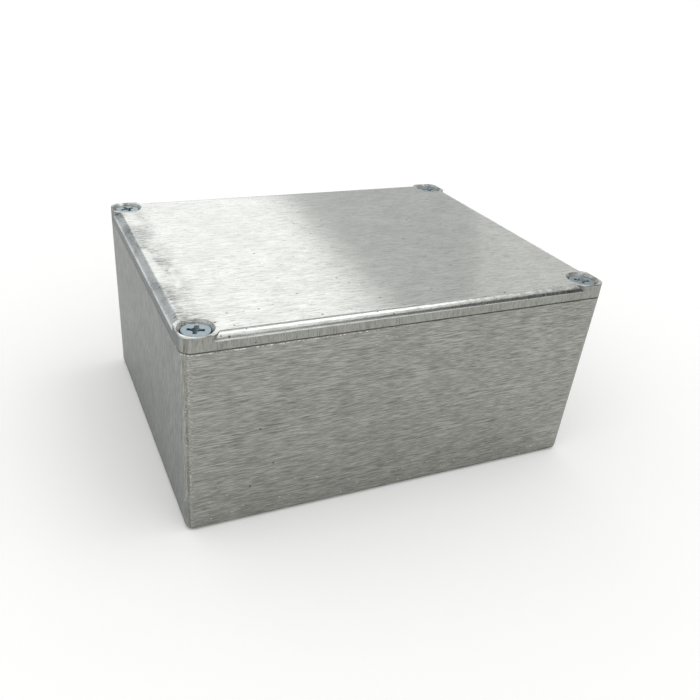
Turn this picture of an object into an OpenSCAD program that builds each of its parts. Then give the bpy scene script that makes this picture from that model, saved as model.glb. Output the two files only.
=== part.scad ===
// Die-cast aluminium box: a drafted box casting with four corner posts, a lid
// casting with a lap-joint tongue, and four countersunk cross-recess screws.
// Origin: centre of the base. +X runs along the length, +Z up. Millimetres.

/* [Overall size] */
// Outside length at the joint line
box_length = 120; // [90:1:220]
// Outside width at the joint line
box_width = 94; // [60:1:160]
// Height of the closed box
total_height = 57; // [36:1:120]

/* [Box casting] */
// Thickness of the side walls
wall_t = 2.2; // [1.8:0.1:3]
// Thickness of the floor
floor_t = 2.2; // [1.8:0.1:3.5]
// Draft of every upright casting face, in degrees
draft = 1.1; // [0.5:0.1:2]
// Outside corner radius at the base, which grows with the draft towards the rim
corner_r = 2; // [1.8:0.1:4]
// Radius of the outside bottom edge
base_edge_r = 1.5; // [0.5:0.1:1.6]
// Radius between the floor and the walls inside
floor_fillet_r = 1.5; // [0.5:0.1:2.5]
// Chamfer on the rim and on the lid's lower edge, which opens the joint line
joint_chamfer = 0.2; // [0.1:0.05:0.4]

/* [Lid casting] */
// Height of the lid from the joint line to its flat top
lid_height = 4.1; // [3.8:0.1:6]
// Width of the rounded edge between the side band and the flat top
bevel_width = 2.4; // [2:0.1:3]
// Height of the rounded edge
bevel_rise = 1.7; // [1:0.1:2]
// Thickness of the lid inside its rim
lid_plate_t = 2.2; // [1.8:0.1:2.8]
// How far the tongue reaches into the box
tongue_depth = 1.6; // [1:0.1:3]
// Thickness of the tongue
tongue_t = 1.4; // [1:0.1:2]
// Clearance between the tongue and the box, all round
tongue_gap = 0.2; // [0.1:0.05:0.4]

/* [Screws] */
// Nominal thread diameter
screw_d = 3.5; // [3:0.1:4]
// Diameter of the countersunk head
head_d = 7.1; // [6.5:0.1:8]
// Length of a screw over its head
screw_length = 12; // [10:1:16]
// How far the head lies below the lid's top
head_sink = 0.55; // [0.2:0.05:0.8]
// Width across the cross recess
recess_span = 4.2; // [3.4:0.1:4.6]
// Depth of the cross recess
recess_depth = 1.8; // [1.2:0.1:2]
// Diametral clearance of a screw in the tapped hole
thread_clearance = 0.1; // [0.05:0.05:0.3]
// Diametral clearance of a screw in the lid
lid_hole_clearance = 0.4; // [0.2:0.1:0.6]

/* [Hidden] */
$fn = 96;

casting_colour = "#b9bcba";
lid_colour = "#c6c9c7";
zinc_colour = "#a9b6c1";

over = 1;               // how far a cutter runs past the face it opens
box_height = total_height - lid_height;
rim_r = corner_r + lean(box_height);

head_land = 0.35;       // straight edge of the head above its cone
head_edge = 0.12;       // chamfer round the top of the head
head_cone_h = (head_d - screw_d) / 2;
sink_r = head_d / 2 + head_sink + head_land;
side_lip = 0.25;        // metal left between a countersink and the lid's side
screw_inset = sink_r + side_lip;

// A pad reaches past the rounded corner of the lid and past its own countersink.
corner_reach = sqrt(2) * (screw_inset - rim_r * (1 - sqrt(0.5)));
pad_r = max(sink_r + 0.9, corner_reach + 0.15);
pad_edge = 0.2;         // chamfer along the top edge of the pads

post_wall = 2.4;        // metal round the tapped hole, measured at the rim
post_r = screw_d / 2 + post_wall;
screw_top = total_height - head_sink;
shank_end = screw_top - screw_length;
tap_margin = 3;         // depth of hole left under a screw
tap_d = screw_d + thread_clearance;
core_chamfer = 0.6;     // chamfer at the bottom of a cored hole
shank_tip = 0.5;        // lead-in chamfer at the end of the thread

// How far a drafted face leans outwards over a height, to a hundredth.
function lean(height) = round(height * tan(draft) * 100) / 100;

// ---- shared building blocks ----

// Puts its children at the four screw axes, turned so that the local +X and +Y
// sides always look at the middle of the box.
module at_corners() {
    x = box_length / 2 - screw_inset;
    y = box_width / 2 - screw_inset;
    translate([-x, -y, 0]) children();
    translate([x, -y, 0]) rotate(90) children();
    translate([x, y, 0]) rotate(180) children();
    translate([-x, y, 0]) rotate(270) children();
}

// Sweeps a half profile round a rectangle with rounded corners. The profile
// stands at the corner centres: its x is the distance outwards, its y is z.
module rim_sweep(l, w, r, h) {
    cx = l / 2 - r;
    cy = w / 2 - r;
    translate([-cx, -cy, 0]) cube([2 * cx, 2 * cy, h]);
    for (k = [0, 1]) {
        rotate(180 * k) {
            translate([cx, cy, 0]) rotate([90, 0, 0]) linear_extrude(2 * cy) children();
            translate([-cx, cy, 0]) rotate([90, 0, 90]) linear_extrude(2 * cx) children();
            translate([cx, cy, 0]) rotate_extrude(angle = 90) children();
            translate([-cx, cy, 0]) rotate(90) rotate_extrude(angle = 90) children();
        }
    }
}

// Half profile of a drafted wall of height h, whose outside stands at base_x below
// and leans out by the draft. The lower edge is rounded with edge_r, and the upper
// edge is chamfered.
module drafted_profile(base_x, h, edge_r, chamfer) {
    rim_x = base_x + lean(h);
    polygon([
        [0, 0],
        [base_x - edge_r, 0],
        [base_x - edge_r, edge_r],
        [base_x, edge_r],
        [rim_x, h - chamfer],
        [rim_x - chamfer, h],
        [0, h]
    ]);
    intersection() {
        translate([base_x - edge_r, edge_r]) circle(edge_r);
        translate([base_x - edge_r, 0]) square(edge_r);
    }
}

// ---- box casting ----

module box_outside() {
    rim_sweep(box_length, box_width, rim_r, box_height)
        drafted_profile(corner_r, box_height, base_edge_r, joint_chamfer);
}

// Cross-section of the cavity between two facing walls that stand w apart at the
// rim. It runs straight on above the rim, to open the casting.
module cavity_section(w) {
    depth = box_height - floor_t;
    translate([0, floor_t]) {
        for (side = [0, 1])
            mirror([side, 0])
                drafted_profile(w / 2 - lean(depth), depth, floor_fillet_r, 0);
        translate([-w / 2, depth]) square([w, over]);
    }
}

module cavity() {
    l = box_length - 2 * wall_t;
    w = box_width - 2 * wall_t;
    intersection() {
        rotate([90, 0, 90]) linear_extrude(l + 2 * over, center = true) cavity_section(w);
        rotate([90, 0, 0]) linear_extrude(w + 2 * over, center = true) cavity_section(l);
    }
}

// Half profile of a post: wider at the floor, so that the casting leaves its die.
module post_profile() {
    polygon([[0, 0], [post_r + lean(box_height), 0], [post_r, box_height], [0, box_height]]);
}

// A post fills the corner of the cavity. Its round nose looks at the middle.
module post() {
    rotate_extrude(angle = 90) post_profile();
    rotate([90, 0, 0]) linear_extrude(screw_inset) post_profile();
    translate([-screw_inset, 0, 0]) rotate([90, 0, 90]) linear_extrude(screw_inset) post_profile();
    translate([-screw_inset, -screw_inset, 0]) cube([screw_inset, screw_inset, box_height]);
}

// Blind hole as its core pin leaves it, before tapping.
module tapped_hole() {
    bottom = shank_end - tap_margin;
    rotate_extrude()
        polygon([
            [0, bottom],
            [tap_d / 2 - core_chamfer, bottom],
            [tap_d / 2, bottom + core_chamfer],
            [tap_d / 2, box_height + over],
            [0, box_height + over]
        ]);
}

module box_body() {
    color(casting_colour)
        difference() {
            box_outside();
            difference() {
                cavity();
                at_corners() post();
            }
            at_corners() tapped_hole();
        }
}

// ---- lid casting ----

// Cross-section of the lid over a width w: straight side bands, then a round
// edge that runs tangent into the flat top.
module lid_section(w) {
    arc_r = (pow(bevel_width, 2) + pow(bevel_rise, 2)) / (2 * bevel_rise);
    intersection() {
        translate([-w / 2, 0]) square([w, lid_height]);
        union() {
            translate([-w / 2, 0]) square([w, lid_height - bevel_rise]);
            translate([-w / 2 + bevel_width, 0]) square([w - 2 * bevel_width, lid_height]);
            for (side = [-1, 1])
                translate([side * (w / 2 - bevel_width), lid_height - arc_r]) circle(arc_r);
        }
    }
}

// The lid's plan carried straight up, with the small chamfers of its two edges.
module lid_prism() {
    rim_sweep(box_length, box_width, rim_r, lid_height)
        polygon([
            [0, 0],
            [rim_r - joint_chamfer, 0],
            [rim_r, joint_chamfer],
            [rim_r, lid_height - pad_edge],
            [rim_r - pad_edge, lid_height],
            [0, lid_height]
        ]);
}

// Plan of the room inside the box at the rim, drawn in by gap all round: the
// four posts are left out of it.
module inside_plan(gap) {
    difference() {
        square([box_length - 2 * (wall_t + gap), box_width - 2 * (wall_t + gap)], center = true);
        at_corners() {
            circle(post_r + gap);
            translate([-screw_inset, -screw_inset]) square([screw_inset, screw_inset + post_r + gap]);
            translate([-screw_inset, -screw_inset]) square([screw_inset + post_r + gap, screw_inset]);
        }
    }
}

module lid_solid() {
    intersection() {
        lid_prism();
        union() {
            intersection() {
                rotate([90, 0, 90]) linear_extrude(box_length, center = true) lid_section(box_width);
                rotate([90, 0, 0]) linear_extrude(box_width, center = true) lid_section(box_length);
            }
            at_corners() cylinder(h = lid_height, r = pad_r);
        }
    }
}

// Countersink for a flat head, with the clearance hole under it.
module countersink() {
    cone_h = sink_r - screw_d / 2;
    translate([0, 0, -over]) cylinder(h = lid_height + over, d = screw_d + lid_hole_clearance);
    translate([0, 0, lid_height - cone_h]) cylinder(h = cone_h, r1 = screw_d / 2, r2 = sink_r);
    translate([0, 0, lid_height]) cylinder(h = over, r = sink_r);
}

module lid() {
    color(lid_colour)
        translate([0, 0, box_height])
            difference() {
                union() {
                    lid_solid();
                    translate([0, 0, -tongue_depth])
                        linear_extrude(tongue_depth + lid_height / 2) inside_plan(tongue_gap);
                }
                translate([0, 0, -tongue_depth - over])
                    linear_extrude(tongue_depth + over + lid_height - lid_plate_t)
                        inside_plan(tongue_gap + tongue_t);
                at_corners() countersink();
            }
}

// ---- screws ----

// Cross recess: two slots whose ends and sides draw in towards the bottom, and
// the pointed socket where they meet.
module cross_recess() {
    top_w = recess_span * 0.26;
    floor_w = recess_span * 0.16;
    floor_span = recess_span * 0.45;
    core_r = recess_span * 0.27;
    translate([0, 0, -recess_depth]) {
        for (a = [0, 90])
            rotate([0, 0, a])
                intersection() {
                    rotate([90, 0, 0])
                        linear_extrude(recess_span, center = true) slot_section(floor_span, recess_span);
                    rotate([90, 0, 90])
                        linear_extrude(recess_span + 2 * over, center = true) slot_section(floor_w, top_w);
                }
        cylinder(h = recess_depth, r1 = core_r / 3, r2 = core_r);
    }
}

// Section of a recess slot, narrow at its floor and wide at the head's top.
module slot_section(floor_size, top_size) {
    polygon([
        [-floor_size / 2, 0],
        [floor_size / 2, 0],
        [top_size / 2, recess_depth],
        [top_size / 2, recess_depth + over],
        [-top_size / 2, recess_depth + over],
        [-top_size / 2, recess_depth]
    ]);
}

// One screw, turned from a single profile, with its head's top at z = 0.
module screw() {
    difference() {
        rotate_extrude()
            polygon([
                [0, 0],
                [head_d / 2 - head_edge, 0],
                [head_d / 2, -head_edge],
                [head_d / 2, -head_land],
                [screw_d / 2, -head_land - head_cone_h],
                [screw_d / 2, shank_tip - screw_length],
                [screw_d / 2 - shank_tip, -screw_length],
                [0, -screw_length]
            ]);
        cross_recess();
    }
}

// side_x and side_y are -1 or 1 and choose the corner. Each screw stopped at an
// angle of its own when it was tightened.
module placed_screw(side_x, side_y, turn) {
    color(zinc_colour)
        translate([
            side_x * (box_length / 2 - screw_inset),
            side_y * (box_width / 2 - screw_inset),
            screw_top
        ])
            rotate(turn) screw();
}

box_body();
lid();
placed_screw(-1, -1, -22);  // screw_front_left
placed_screw(1, -1, -34);  // screw_front_right
placed_screw(-1, 1, 20);  // screw_back_left
placed_screw(1, 1, -12);  // screw_back_right
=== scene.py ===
"""Dresses the die-cast aluminium box: linished castings, zinc-plated screws and a plain studio."""

import math
from typing import NamedTuple

import bpy
from mathutils import Matrix, Quaternion, Vector


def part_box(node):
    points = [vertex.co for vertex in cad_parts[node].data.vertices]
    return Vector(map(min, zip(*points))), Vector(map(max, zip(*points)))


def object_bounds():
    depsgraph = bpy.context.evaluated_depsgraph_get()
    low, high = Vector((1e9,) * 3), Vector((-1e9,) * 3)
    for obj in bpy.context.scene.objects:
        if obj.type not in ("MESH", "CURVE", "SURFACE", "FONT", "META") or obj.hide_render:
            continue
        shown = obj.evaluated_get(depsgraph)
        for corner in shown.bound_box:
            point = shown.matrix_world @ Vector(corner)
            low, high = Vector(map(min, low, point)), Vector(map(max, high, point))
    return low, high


bl_info = {
    "name": "Die-cast Box Dresser",
    "version": (1, 0, 0),
    "blender": (4, 5, 0),
    "location": "3D View > Sidebar > Die-cast Box",
    "description": "Gives a die-cast aluminium box its linished finish, plated screws and a studio",
    "category": "Object",
}

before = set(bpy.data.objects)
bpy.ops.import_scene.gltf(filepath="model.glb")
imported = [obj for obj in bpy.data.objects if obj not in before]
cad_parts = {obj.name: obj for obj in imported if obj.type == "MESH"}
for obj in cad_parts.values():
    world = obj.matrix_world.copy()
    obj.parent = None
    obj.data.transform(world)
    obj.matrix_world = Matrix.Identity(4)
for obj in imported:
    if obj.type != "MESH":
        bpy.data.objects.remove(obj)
CAD_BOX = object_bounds()

MM = 0.001
CASTING = "box_body"
LID = "lid"
SCREWS = ("screw_front_left", "screw_front_right", "screw_back_left", "screw_back_right")

# places on the castings, from the frame
LEFT, FRONT = CAD_BOX[0][0], CAD_BOX[0][1]
RIGHT, BACK = CAD_BOX[1][0], CAD_BOX[1][1]
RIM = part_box(CASTING)[1][2]
SCREW_INSET = 4.7 * MM
SEAT_RADIUS = 4.5 * MM
LEFT_REFLECTION_START, LEFT_REFLECTION_STOP = LEFT + 4 * MM, LEFT + 11 * MM
RIM_SPECK_START, RIM_SPECK_STOP = RIM - 0.5 * MM, RIM - 0.25 * MM

# sizes of the pattern cells, in millimetres
PATCH_CELL = 9
PORE_CELL = 2
FLECK_CELL = 1.3
RAGGED_CELL = 0.45
CHIP_CELL = 0.7
RIM_SPECK_CELL = 0.6
MOTTLE_CELL = 1.1
BLOTCH_CELL = (5, 12, 12)
CLOUD_CELL = 1.2

# how much each mark changes the metal's brightness, as a share of it
PORE_EFFECT = -0.75
LEFT_REFLECTION_EFFECT = -0.7
RIM_SPECK_EFFECT = 1.5
CORNER_REFLECTION_EFFECT = -0.4
BEVEL_MOTTLE_AND_SHADE_EFFECT = -0.5
SEAT_SHADE_EFFECT = -0.2

# the studio, with directions in degrees and distances in metres
TABLE_CENTRE = (0, 0, 0.03)
FLOOR_REACH = 20.0
FLOOR_DROP = 0.05 * MM
REAR_BOX = {"azimuth": 14, "elevation": 32, "distance": 1.4, "width": 0.66, "lean": 45}
TOP_BOX = {"azimuth": 88, "elevation": 67, "distance": 3.2, "width": 1.1, "lean": 0}
SCREEN_REACH = 8.0
SCREEN_STEPS = 12
# each screen's low left, low right, high right and high left corner, as azimuth and elevation
SCREENS = {
    "right": ((4, 0), (34, 0), (42, 44), (46, 44)),
    "far": ((34, 0), (110, 0), (110, 56), (42, 44)),
    "left": ((-100, 0), (4, 0), (4, 38), (-100, 38)),
    "high": ((-40, 46), (60, 46), (60, 60), (-40, 60)),
    "front": ((160, 24), (235, 24), (235, 42), (160, 42)),
    "dark": ((108, 0), (142, 0), (160, 42), (112, 42)),
}
CAMERA_AZIMUTH, CAMERA_ELEVATION, CAMERA_ROLL = -24.31, 28.24, 4.15
CAMERA_PLACE = Vector((-92.85, -187.06, 136.15)) * MM
CAMERA_SHIFT = (0.0602, -0.0204)
CAMERA_CLIP = (0.01, 50)
SENSOR_WIDTH = 36

# the mix node's first and second input and its output, for each kind of value
MIX_SOCKETS = {"FLOAT": (2, 3, 0), "VECTOR": (4, 5, 1), "RGBA": (6, 7, 2)}


class CastLook(NamedTuple):
    """What differs between the belt finishes of the two castings."""

    mark_width: float  # times the grain width
    mark_length: float  # times the grain length
    dash: tuple  # noise level of a dark and of a bright mark, then the depth of each
    pore_times: float  # times the pore share
    front_pore_times: float  # times that again along the front edge
    fleck_effect: float
    edge_wear_and_highlight_effect: float


# on the lid the marks are dark dashes in bright metal, on the sides light and dark alike
BOX_LOOK = CastLook(1.0, 1.0, (0.36, 0.64, -1, 1), 0.5, 1, 0.8, 0.2)
LID_LOOK = CastLook(1.4, 0.6, (0.32, 0.5, -1, 0.12), 1.2, 5, 0.4, 0.5)


def linear(tone):
    """Turns an sRGB hex colour such as #b0b2b0 into linear RGBA."""
    parts = [int(tone[i : i + 2], 16) / 255 for i in (1, 3, 5)]
    return tuple(
        p / 12.92 if p <= 0.04045 else ((p + 0.055) / 1.055) ** 2.4 for p in parts
    ) + (1.0,)


def per_metre(size_mm):
    """Texture scale that gives one pattern cell in so many millimetres."""
    return 1.0 / (size_mm * MM)


def add(tree, kind, sockets=None, **settings):
    """Adds one node with its settings, and sets or links each of its named input sockets."""
    made = tree.nodes.new(kind)
    for name, value in settings.items():
        setattr(made, name, value)
    for key, value in (sockets or {}).items():
        if isinstance(value, bpy.types.NodeSocket):
            tree.links.new(value, made.inputs[key])
        else:
            made.inputs[key].default_value = value
    return made


def calc(tree, operation, *values):
    """One sum on numbers and sockets."""
    return add(tree, "ShaderNodeMath", dict(enumerate(values)), operation=operation).outputs[0]


def vector_calc(tree, operation, *values):
    """One sum on vectors that gives a vector."""
    return add(
        tree, "ShaderNodeVectorMath", dict(enumerate(values)), operation=operation
    ).outputs[0]


def ramp(tree, value, start, stop, first=0, last=1, shape="LINEAR"):
    """Takes start to stop over to first to last, and holds the ends."""
    return add(
        tree, "ShaderNodeMapRange", {0: value, 1: start, 2: stop, 3: first, 4: last},
        interpolation_type=shape,
    ).outputs[0]


def noise(tree, place, scale, detail, roughness=0.5, output=0):
    """Noise from about 0.2 to 0.8, or its colour."""
    return add(
        tree, "ShaderNodeTexNoise",
        {"Vector": place, "Scale": scale, "Detail": detail, "Roughness": roughness},
    ).outputs[output]


def mix(tree, kind, share, first, second):
    """Blends from first to second."""
    low, high, out = MIX_SOCKETS[kind]
    return add(
        tree, "ShaderNodeMix", {0: share, low: first, high: second}, data_type=kind
    ).outputs[out]


def scaled(tree, vector, factor):
    """A vector or colour times one number."""
    return add(
        tree, "ShaderNodeVectorMath", {0: vector, "Scale": factor}, operation="SCALE"
    ).outputs[0]


def product(tree, factors):
    """All the factors multiplied."""
    total = 1.0
    for factor in factors:
        total = calc(tree, "MULTIPLY", total, factor)
    return total


def changed(tree, shade, mask, effect):
    """The shade, made brighter or darker by the effect where the mask is 1."""
    return calc(tree, "MULTIPLY", shade, calc(tree, "MULTIPLY_ADD", mask, effect, 1.0))


def open_air(tree, reach, samples):
    """1 in the open and towards 0 in corners and gaps narrower than the reach."""
    return add(
        tree, "ShaderNodeAmbientOcclusion", {"Distance": reach}, samples=samples,
        only_local=False,
    ).outputs["AO"]


def new_material(name):
    """An empty node material and its tree."""
    material = bpy.data.materials.new(name)
    material.use_nodes = True
    material.node_tree.nodes.clear()
    return material, material.node_tree


def metal_output(tree, colour, rough, bump):
    """Ends a tree in one bare metal."""
    shader = add(
        tree, "ShaderNodeBsdfPrincipled",
        {"Base Color": colour, "Metallic": 1.0, "Roughness": rough, "Normal": bump},
    )
    add(tree, "ShaderNodeOutputMaterial", {0: shader.outputs[0]})


class CastingFinish(bpy.types.PropertyGroup):
    """Colours and grain of the two aluminium castings."""

    # painted shade: the side, end and lid end tones are darker copies of the top's metal, for the
    # dimmer surroundings those faces mirror
    shaded_side_tone: bpy.props.StringProperty(
        name="Side tone", description="Coarse linished metal of the sides, as sRGB hex",
        default="#9d9e98",
    )
    top_tone: bpy.props.StringProperty(
        name="Top tone", description="Finer linished metal of the lid's top, as sRGB hex",
        default="#d3d5d1",
    )
    shaded_end_tone: bpy.props.StringProperty(
        name="End tone", description="Linished metal of the two ends, as sRGB hex",
        default="#8c8f8d",
    )
    shaded_lid_end_tone: bpy.props.StringProperty(
        name="Lid end tone", description="Cooler metal of the lid's two ends, as sRGB hex",
        default="#757a7d",
    )
    side_roughness: bpy.props.FloatProperty(
        name="Side roughness", description="Micro roughness of the sides", default=0.5,
        min=0.1, max=1, subtype="FACTOR",
    )
    top_roughness: bpy.props.FloatProperty(
        name="Top roughness", description="Micro roughness of the lid's top", default=0.12,
        min=0.1, max=1, subtype="FACTOR",
    )
    grain_width: bpy.props.FloatProperty(
        name="Grain width", description="Across one linishing mark", default=0.2 * MM,
        min=0.1 * MM, max=2 * MM, subtype="DISTANCE", unit="LENGTH",
    )
    grain_length: bpy.props.FloatProperty(
        name="Grain length", description="Along one linishing mark", default=3.8 * MM,
        min=1 * MM, max=40 * MM, subtype="DISTANCE", unit="LENGTH",
    )
    grain_depth: bpy.props.FloatProperty(
        name="Grain contrast", description="Light and dark of one mark", default=0.38,
        min=0, max=0.5, subtype="FACTOR",
    )
    patch_depth: bpy.props.FloatProperty(
        name="Patch contrast", description="Light and dark of the oxide patches", default=0.07,
        min=0, max=0.5, subtype="FACTOR",
    )
    pore_share: bpy.props.FloatProperty(
        name="Pore share", description="Share of 2 mm cells that hold a pore", default=0.05,
        min=0, max=1, subtype="FACTOR",
    )
    fleck_share: bpy.props.FloatProperty(
        name="Fleck share", description="Share of 1.3 mm cells that hold a bright fleck",
        default=0.07, min=0, max=1, subtype="FACTOR",
    )
    edge_round: bpy.props.FloatProperty(
        name="Edge rounding", description="Width of the worn round along each sharp edge",
        default=0.12 * MM, min=0, max=0.3 * MM, subtype="DISTANCE", unit="LENGTH",
    )


class ScrewFinish(bpy.types.PropertyGroup):
    """Colour of the four lid screws."""

    zinc_tone: bpy.props.StringProperty(
        name="Zinc tone", description="Bluish zinc plate, as sRGB hex", default="#95a3a9"
    )
    zinc_roughness: bpy.props.FloatProperty(
        name="Zinc roughness", description="Micro roughness of the plate", default=0.24,
        min=0.05, max=1, subtype="FACTOR",
    )
    edge_round: bpy.props.FloatProperty(
        name="Edge rounding", description="Width of the round along each edge of a screw",
        default=0.07 * MM, min=0, max=0.2 * MM, subtype="DISTANCE", unit="LENGTH",
    )


class StudioSettings(bpy.types.PropertyGroup):
    """Floor, lamps and camera round the box."""

    floor_tone: bpy.props.StringProperty(
        name="Floor tone", description="Plain pale floor, as sRGB hex", default="#fdfdfc"
    )
    sky_level: bpy.props.FloatProperty(
        name="Sky level", description="Strength of the white surround", default=1.0, min=0, max=3
    )
    rear_level: bpy.props.FloatProperty(
        name="Rear softbox level", description="Radiance of the softbox mirrored in the lid",
        default=0.3, min=0, max=8,
    )
    top_level: bpy.props.FloatProperty(
        name="Top softbox level", description="Radiance of the overhead softbox",
        default=1.8, min=0, max=8,
    )
    right_screen_tone: bpy.props.StringProperty(
        name="Right screen", description="Paper mirrored in the lid's right half", default="#cacbca"
    )
    far_screen_tone: bpy.props.StringProperty(
        name="Far screen", description="Paper mirrored in the lid's right end", default="#dededd"
    )
    left_screen_tone: bpy.props.StringProperty(
        name="Left screen", description="Paper mirrored in the left bevel", default="#c9cdd2"
    )
    high_screen_tone: bpy.props.StringProperty(
        name="High screen", description="Paper mirrored where the bevels start",
        default="#b4b6b7",
    )
    front_screen_tone: bpy.props.StringProperty(
        name="Front screen", description="Paper mirrored at the foot of the bevels",
        default="#747474",
    )
    dark_screen_tone: bpy.props.StringProperty(
        name="Dark screen", description="Paper mirrored in the right end of the front",
        default="#585858",
    )
    lens: bpy.props.FloatProperty(
        name="Lens", description="Focal length", default=38.12, min=10, max=200,
        subtype="DISTANCE_CAMERA",
    )


def soften_edges(piece, width):
    """Rounds the sharp edges of a piece a little, as linishing and handling leave them."""
    weld = piece.modifiers.new("join_corners", "WELD")
    weld.merge_threshold = 0.002 * MM
    bevel = piece.modifiers.new("worn_edges", "BEVEL")
    bevel.width = width
    bevel.segments = 2
    bevel.limit_method = "ANGLE"
    bevel.angle_limit = math.radians(28)
    flat = piece.modifiers.new("flat_faces", "WEIGHTED_NORMAL")
    flat.weight = 100


def use_finish(piece, material):
    """Puts a finish on every slot of a carried-over solid."""
    for slot in piece.material_slots:
        slot.material = material


def belt_place(tree, place, finish, look, turned):
    """Stretches the pattern along the belt, and upright where the piece was turned."""
    across = 1 / (finish.grain_width * look.mark_width)
    along = 1 / (finish.grain_length * look.mark_length)
    lengthways = vector_calc(tree, "MULTIPLY", place, (along, across, across))
    upright = vector_calc(tree, "MULTIPLY", place, (across, across, along))
    return mix(tree, "VECTOR", turned, lengthways, upright)


def spots(tree, place, cell, small, large, channel, level):
    """One round spot in each cell whose random colour channel passes the level."""
    cells = add(tree, "ShaderNodeTexVoronoi", {"Vector": place, "Scale": per_metre(cell)})
    spot = ramp(tree, cells.outputs["Distance"], small, large, 1, 0)
    chosen = add(tree, "ShaderNodeSeparateColor", {0: cells.outputs["Color"]}).outputs[channel]
    return calc(tree, "MULTIPLY", spot, calc(tree, "GREATER_THAN", chosen, level))


def pore_level(tree, y, finish, look):
    """Random level above which a cell holds a pore: lower, so more of them, near the front."""
    share = finish.pore_share * look.pore_times
    return ramp(
        tree, y, FRONT + 4 * MM, FRONT + 13 * MM, 1 - share * look.front_pore_times, 1 - share
    )


def worn_edges(tree, place, rounded, normal):
    """Broken bright line along each sharp edge, found where the rounded normal turns away: partly
    wear, partly painted highlight.
    """
    same = add(
        tree, "ShaderNodeVectorMath", {0: rounded, 1: normal}, operation="DOT_PRODUCT"
    ).outputs["Value"]
    edge = ramp(tree, same, 0.98, 0.85)
    chipped = ramp(tree, noise(tree, place, per_metre(CHIP_CELL), 2), 0.45, 0.65)
    return calc(tree, "MULTIPLY", edge, chipped)


def left_edge_dark_reflection(tree, place, x, marks, topness):
    """Painted dark reflection: streaky dark patches along the left end of the lid's top."""
    near_edge = ramp(tree, x, LEFT_REFLECTION_START, LEFT_REFLECTION_STOP, 1, 0, "SMOOTHSTEP")
    stretched = vector_calc(tree, "MULTIPLY", place, tuple(per_metre(c) for c in BLOTCH_CELL))
    blotches = ramp(tree, noise(tree, stretched, 1, 4), 0.4, 0.58)
    streaky = ramp(tree, marks, 0.4, 0.62, 1, 0.1)
    return near_edge, blotches, streaky, topness


def rim_highlight_specks(tree, place, x, z, endness):
    """Painted highlight: bright specks just under the lid, most of them along the left half of the
    front.
    """
    near_rim = calc(tree, "GREATER_THAN", z, RIM_SPECK_START)
    below_joint = calc(tree, "LESS_THAN", z, RIM_SPECK_STOP)
    on_front = calc(tree, "SUBTRACT", 1.0, endness)
    left_half = ramp(tree, x, -15 * MM, 5 * MM, 1, 0.1)
    highlight_specks = ramp(tree, noise(tree, place, per_metre(RIM_SPECK_CELL), 3), 0.53, 0.59)
    return near_rim, below_joint, on_front, left_half, highlight_specks


def corner_dark_reflection(tree, end, up, patches):
    """One painted dark reflection down each upright corner, broken up by the patches."""
    line = calc(tree, "COMPARE", end, 0.6, 0.14)
    patchiness = ramp(tree, patches, 0.35, 0.6, 1, 0.3)
    return line, patchiness, calc(tree, "LESS_THAN", up, 0.3)


def bevel_mottle_and_shade(tree, place, x, on_bevel, topness):
    """Dark mottling of the bevel, with painted shade that dims its highlight towards its right end.
    """
    mottle = ramp(tree, noise(tree, place, per_metre(MOTTLE_CELL), 3), 0.35, 0.62, 1, 0.25)
    shade_to_right = ramp(tree, x, -25 * MM, 55 * MM)
    return mottle, shade_to_right, on_bevel, topness


def screw_seats(tree, place, on_bevel):
    """The four countersinks, darkened there as painted shade in the recesses."""
    folded = vector_calc(tree, "ABSOLUTE", place)
    from_axis = vector_calc(
        tree, "MULTIPLY_ADD", folded, (1, 1, 0),
        (SCREW_INSET - RIGHT, SCREW_INSET - BACK, 0),
    )
    distance = add(
        tree, "ShaderNodeVectorMath", {0: from_axis}, operation="LENGTH"
    ).outputs["Value"]
    return calc(tree, "LESS_THAN", distance, SEAT_RADIUS), on_bevel


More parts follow.
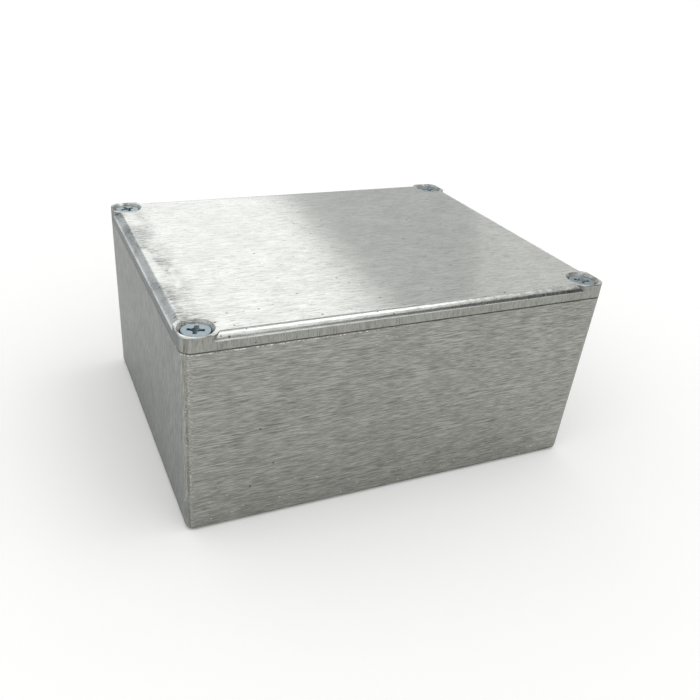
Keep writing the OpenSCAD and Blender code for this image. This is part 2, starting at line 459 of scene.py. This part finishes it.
def linished_die_cast_aluminium(name, finish, top, side, is_lid):
    """Die-cast aluminium run over an abrasive belt.

    The belt leaves short parallel marks, so highlights spread across them and the face looks
    streaky; thin oxide greys it in soft patches, casting pores stay dark, and edges get a bright
    line that is partly wear and partly painted highlight. Painted shade darkens the sides, ends,
    crevices and bevels, and painted reflections and highlights mark the lid and rim.
    """
    look = LID_LOOK if is_lid else BOX_LOOK
    material, tree = new_material(name)
    place = add(tree, "ShaderNodeTexCoord").outputs["Object"]
    x, y, z = add(tree, "ShaderNodeSeparateXYZ", {0: place}).outputs
    surface = add(tree, "ShaderNodeNewGeometry")
    facing = add(tree, "ShaderNodeSeparateXYZ", {0: surface.outputs["True Normal"]})
    end = calc(tree, "ABSOLUTE", facing.outputs[0])
    up = calc(tree, "ABSOLUTE", facing.outputs[2])
    # 0 on the sides and 1 on the top, so the bevel passes from one finish to the other
    topness = ramp(tree, up, 0.1, 0.4, shape="SMOOTHSTEP")
    endness = ramp(tree, end, 0.9, 0.99)
    on_bevel = ramp(tree, up, 0.99, 0.93)

    # marks run along the length on top and front, and upright on the ends and the lid's sides
    turned = calc(tree, "LESS_THAN", up, 0.3) if is_lid else calc(tree, "GREATER_THAN", end, 0.7)
    grain_place = belt_place(tree, place, finish, look, turned)
    marks = noise(tree, grain_place, 1, 3, 0.7)
    wide_place = vector_calc(tree, "MULTIPLY", grain_place, (0.45, 0.45, 0.45))
    streaks = noise(tree, wide_place, 1, 2)
    patches = noise(tree, place, per_metre(PATCH_CELL), 4, 0.65)

    # small dark pores, and tiny bright flecks where the belt skipped, both ragged in outline
    ragged = noise(tree, place, per_metre(RAGGED_CELL), 2, output="Color")
    shaken = vector_calc(tree, "MULTIPLY_ADD", ragged, (0.7 * MM,) * 3, place)
    pores = spots(tree, shaken, PORE_CELL, 0.08, 0.2, 0, pore_level(tree, y, finish, look))
    flecks = spots(tree, shaken, FLECK_CELL, 0.1, 0.26, 1, 1 - finish.fleck_share)

    # painted shade darkens the joint, the corners and the screw seats; edges get a bright line,
    # partly wear and partly painted highlight
    crevice_shade = ramp(tree, open_air(tree, 0.9 * MM, 6), 0.4, 0.85, 0.2, 1)
    rounded = add(tree, "ShaderNodeBevel", {"Radius": 0.2 * MM}, samples=4).outputs[0]
    worn = worn_edges(tree, place, rounded, surface.outputs["Normal"])

    # painted shade: the sides and ends take darker copies of the top's metal tone
    shaded_end_tone = finish.shaded_lid_end_tone if is_lid else finish.shaded_end_tone
    tone = mix(tree, "RGBA", topness, linear(side[0]), linear(top[0]))
    tone = mix(tree, "RGBA", endness, tone, linear(shaded_end_tone))
    shade = 1.0
    for source, (low, high, dark, bright), depth in (
        (marks, look.dash, finish.grain_depth),
        (streaks, (0.3, 0.7, -1, 1), finish.grain_depth * 0.22),
        (patches, (0.3, 0.7, -1, 1), finish.patch_depth),
    ):
        wave = ramp(tree, source, low, high, 1 + dark * depth, 1 + bright * depth)
        shade = calc(tree, "MULTIPLY", shade, wave)
    for mask, effect in (
        # the edge line is partly wear and partly painted highlight
        (pores, PORE_EFFECT), (flecks, look.fleck_effect), (worn, look.edge_wear_and_highlight_effect)
    ):
        shade = changed(tree, shade, mask, effect)
    shade = calc(tree, "MULTIPLY", shade, crevice_shade)
    if is_lid:
        # painted dark reflection along the left end of the lid's top
        changes = [(left_edge_dark_reflection(tree, place, x, marks, topness), LEFT_REFLECTION_EFFECT)]
    else:
        # painted highlight specks along the rim under the joint
        changes = [(rim_highlight_specks(tree, place, x, z, endness), RIM_SPECK_EFFECT)]
    # painted dark reflection down each upright corner
    changes.append((corner_dark_reflection(tree, end, up, patches), CORNER_REFLECTION_EFFECT))
    # mottle and painted shade on the bevel, darker to the right
    changes.append((bevel_mottle_and_shade(tree, place, x, on_bevel, topness), BEVEL_MOTTLE_AND_SHADE_EFFECT))
    if is_lid:
        # painted shade in the four countersinks
        changes.append((screw_seats(tree, place, on_bevel), SEAT_SHADE_EFFECT))
    for factors, effect in changes:
        shade = changed(tree, shade, product(tree, factors), effect)
    colour = scaled(tree, tone, shade)

    rough = mix(tree, "FLOAT", topness, side[1], top[1])
    # the belt does not reach into the bevel, which keeps a duller tumbled skin
    duller = calc(tree, "MULTIPLY", ramp(tree, up, 0.99, 0.92, 0, 0.14), topness)
    rough = calc(tree, "ADD", rough, duller)
    rough = calc(tree, "ADD", rough, ramp(tree, marks, 0.25, 0.75, 0.04, -0.04))
    height = calc(tree, "MULTIPLY_ADD", pores, -3.0, marks)
    bump = add(
        tree, "ShaderNodeBump",
        {"Strength": 0.45, "Distance": 0.012 * MM, "Height": height, "Normal": rounded},
    ).outputs[0]
    metal_output(tree, colour, rough, bump)
    return material


def zinc_plated_steel(name, tone, roughness):
    """Bright zinc plate with a blue passivate over cold-headed steel: small, cool and glossy."""
    material, tree = new_material(name)
    place = add(tree, "ShaderNodeTexCoord").outputs["Object"]
    cloud = noise(tree, place, per_metre(CLOUD_CELL), 4, 0.6)
    # painted shade: darker in the cross recess and in the gap round the head
    crevice_shade = ramp(tree, open_air(tree, 0.6 * MM, 8), 0.15, 0.6, 0.3, 1)
    wave = ramp(tree, cloud, 0.3, 0.7, 0.82, 1.12)
    colour = scaled(tree, linear(tone)[:3], calc(tree, "MULTIPLY", crevice_shade, wave))
    rough = ramp(tree, cloud, 0.3, 0.7, roughness - 0.06, roughness + 0.08)
    bump = add(
        tree, "ShaderNodeBump", {"Strength": 0.25, "Distance": 0.03 * MM, "Height": cloud}
    ).outputs[0]
    metal_output(tree, colour, rough, bump)
    return material


class DIECAST_OT_box_casting(bpy.types.Operator):
    """Gives the box casting its coarse belt finish and worn edges."""

    bl_idname = "diecast.box_casting"
    bl_label = "Finish Box Casting"

    def execute(self, context):
        finish = context.scene.casting_finish
        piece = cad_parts[CASTING]
        side = (finish.shaded_side_tone, finish.side_roughness)
        material = linished_die_cast_aluminium(
            "linished_die_cast_box", finish, side, side, is_lid=False
        )
        use_finish(piece, material)
        soften_edges(piece, finish.edge_round)
        return {"FINISHED"}


class DIECAST_OT_lid_casting(bpy.types.Operator):
    """Gives the lid its finer belt finish and worn edges."""

    bl_idname = "diecast.lid_casting"
    bl_label = "Finish Lid Casting"

    def execute(self, context):
        finish = context.scene.casting_finish
        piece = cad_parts[LID]
        material = linished_die_cast_aluminium(
            "linished_die_cast_lid", finish, (finish.top_tone, finish.top_roughness),
            (finish.shaded_side_tone, finish.side_roughness), is_lid=True,
        )
        use_finish(piece, material)
        soften_edges(piece, finish.edge_round)
        return {"FINISHED"}


class DIECAST_OT_lid_screws(bpy.types.Operator):
    """Gives the four lid screws their zinc plate."""

    bl_idname = "diecast.lid_screws"
    bl_label = "Finish Lid Screws"

    def execute(self, context):
        finish = context.scene.screw_finish
        material = zinc_plated_steel(
            "zinc_plated_steel_screw", finish.zinc_tone, finish.zinc_roughness
        )
        for name in SCREWS:
            use_finish(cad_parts[name], material)
            soften_edges(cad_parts[name], finish.edge_round)
        return {"FINISHED"}


def on_sky(azimuth, elevation, distance):
    """Point in the given direction from the box: azimuth from straight behind to the right."""
    a, e = math.radians(azimuth), math.radians(elevation)
    return Vector((math.sin(a) * math.cos(e), math.cos(a) * math.cos(e), math.sin(e))) * distance


def softbox(name, radiance, azimuth, elevation, distance, width, lean):
    """One square soft lamp, turned by lean degrees, whose face shines at the radiance given."""
    lamp = bpy.data.lights.new(name, "AREA")
    lamp.shape = "RECTANGLE"
    lamp.size, lamp.size_y = width, width
    lamp.energy = radiance * math.pi * width * width
    holder = bpy.data.objects.new(name, lamp)
    holder.location = on_sky(azimuth, elevation, distance)
    aim = (Vector(TABLE_CENTRE) - holder.location).to_track_quat("-Z", "Y")
    holder.rotation_euler = (aim @ Quaternion((0, 0, 1), math.radians(lean))).to_euler()
    bpy.context.scene.collection.objects.link(holder)


def screen(name, corners, tone):
    """One curved, evenly lit screen between four corners on the sky, seen in mirrors only."""
    low_left, low_right, high_right, high_left = (Vector(c) for c in corners)
    points, faces = [], []
    for row in range(SCREEN_STEPS + 1):
        for column in range(SCREEN_STEPS + 1):
            low = low_left.lerp(low_right, column / SCREEN_STEPS)
            high = high_left.lerp(high_right, column / SCREEN_STEPS)
            points.append(on_sky(*low.lerp(high, row / SCREEN_STEPS), SCREEN_REACH))
            if row < SCREEN_STEPS and column < SCREEN_STEPS:
                corner = row * (SCREEN_STEPS + 1) + column
                above = corner + SCREEN_STEPS + 1
                faces.append((corner, corner + 1, above + 1, above))
    mesh = bpy.data.meshes.new(name)
    mesh.from_pydata(points, [], faces)
    paper, tree = new_material(name + "_paper")
    glow = add(tree, "ShaderNodeEmission", {"Color": linear(tone), "Strength": 1.0})
    add(tree, "ShaderNodeOutputMaterial", {0: glow.outputs[0]})
    paper.cycles.emission_sampling = "NONE"
    mesh.materials.append(paper)
    holder = bpy.data.objects.new(name, mesh)
    holder.visible_camera = False
    holder.visible_diffuse = False
    bpy.context.scene.collection.objects.link(holder)


def lay_floor(scene, tone):
    """A plain matt floor just under the box."""
    mesh = bpy.data.meshes.new("studio_floor")
    mesh.from_pydata(
        [
            (-FLOOR_REACH, -FLOOR_REACH, 0),
            (FLOOR_REACH, -FLOOR_REACH, 0),
            (FLOOR_REACH, FLOOR_REACH, 0),
            (-FLOOR_REACH, FLOOR_REACH, 0),
        ],
        [], [(0, 1, 2, 3)],
    )
    floor = bpy.data.objects.new("studio_floor", mesh)
    floor.location.z = -FLOOR_DROP
    scene.collection.objects.link(floor)
    material, tree = new_material("matt_white_paper")
    shader = add(tree, "ShaderNodeBsdfDiffuse", {"Color": linear(tone), "Roughness": 0.5})
    add(tree, "ShaderNodeOutputMaterial", {0: shader.outputs[0]})
    mesh.materials.append(material)


def set_surround(scene, level):
    """An even white surround."""
    world = bpy.data.worlds.new("white_surround")
    world.use_nodes = True
    world.node_tree.nodes.clear()
    sky = add(world.node_tree, "ShaderNodeBackground", {0: (1, 1, 1, 1), 1: level})
    add(world.node_tree, "ShaderNodeOutputWorld", {0: sky.outputs[0]})
    scene.world = world
    scene.view_settings.view_transform = "Standard"


def set_camera(scene, lens):
    """The camera, in front of the box, above it and to its left."""
    camera = bpy.data.cameras.new("studio_camera")
    camera.sensor_width = SENSOR_WIDTH
    camera.lens = lens
    camera.shift_x, camera.shift_y = CAMERA_SHIFT
    camera.clip_start, camera.clip_end = CAMERA_CLIP
    holder = bpy.data.objects.new("studio_camera", camera)
    azimuth, elevation, roll = (
        math.radians(v) for v in (CAMERA_AZIMUTH, CAMERA_ELEVATION, CAMERA_ROLL)
    )
    back = Vector((
        math.sin(azimuth) * math.cos(elevation),
        -math.cos(azimuth) * math.cos(elevation),
        math.sin(elevation),
    ))
    right = Vector((math.cos(azimuth), math.sin(azimuth), 0))
    above = back.cross(right)
    rolled_right = right * math.cos(roll) + above * math.sin(roll)
    rolled_above = above * math.cos(roll) - right * math.sin(roll)
    turn = Matrix((rolled_right, rolled_above, back)).transposed().to_4x4()
    holder.matrix_world = Matrix.Translation(CAMERA_PLACE) @ turn
    scene.collection.objects.link(holder)
    scene.camera = holder


class DIECAST_OT_studio(bpy.types.Operator):
    """Sets the pale floor, the soft lamps, the white surround and the camera."""

    bl_idname = "diecast.studio"
    bl_label = "Set Up Studio"

    def execute(self, context):
        scene = context.scene
        settings = scene.studio_settings
        lay_floor(scene, settings.floor_tone)
        # the rear softbox leans, so its edge crosses the lid's reflection from back to front
        softbox("rear_softbox", settings.rear_level, **REAR_BOX)
        softbox("top_softbox", settings.top_level, **TOP_BOX)
        # grey screens give the metal something darker than the surround to mirror
        for side, corners in SCREENS.items():
            screen("screen_" + side, corners, getattr(settings, side + "_screen_tone"))
        set_surround(scene, settings.sky_level)
        set_camera(scene, settings.lens)
        return {"FINISHED"}


class DIECAST_PT_dresser(bpy.types.Panel):
    """Lists the finishes, the studio and the steps that set them."""

    bl_label = "Die-cast Box"
    bl_idname = "DIECAST_PT_dresser"
    bl_space_type = "VIEW_3D"
    bl_region_type = "UI"
    bl_category = "Die-cast Box"

    def draw(self, context):
        for group in (
            context.scene.casting_finish, context.scene.screw_finish, context.scene.studio_settings
        ):
            column = self.layout.column(align=True)
            for name in group.__annotations__:
                column.prop(group, name)
        for operator in OPERATORS:
            self.layout.operator(operator.bl_idname)


GROUPS = {
    "casting_finish": CastingFinish,
    "screw_finish": ScrewFinish,
    "studio_settings": StudioSettings,
}
OPERATORS = (
    DIECAST_OT_box_casting,
    DIECAST_OT_lid_casting,
    DIECAST_OT_lid_screws,
    DIECAST_OT_studio,
)


def register():
    for name, group in GROUPS.items():
        bpy.utils.register_class(group)
        setattr(bpy.types.Scene, name, bpy.props.PointerProperty(type=group))
    for operator in OPERATORS:
        bpy.utils.register_class(operator)
    bpy.utils.register_class(DIECAST_PT_dresser)


def unregister():
    bpy.utils.unregister_class(DIECAST_PT_dresser)
    for operator in reversed(OPERATORS):
        bpy.utils.unregister_class(operator)
    for name, group in reversed(list(GROUPS.items())):
        delattr(bpy.types.Scene, name)
        bpy.utils.unregister_class(group)


def main():
    register()
    bpy.ops.diecast.box_casting()
    bpy.ops.diecast.lid_casting()
    bpy.ops.diecast.lid_screws()
    bpy.ops.diecast.studio()


if __name__ == "__main__":
    main()
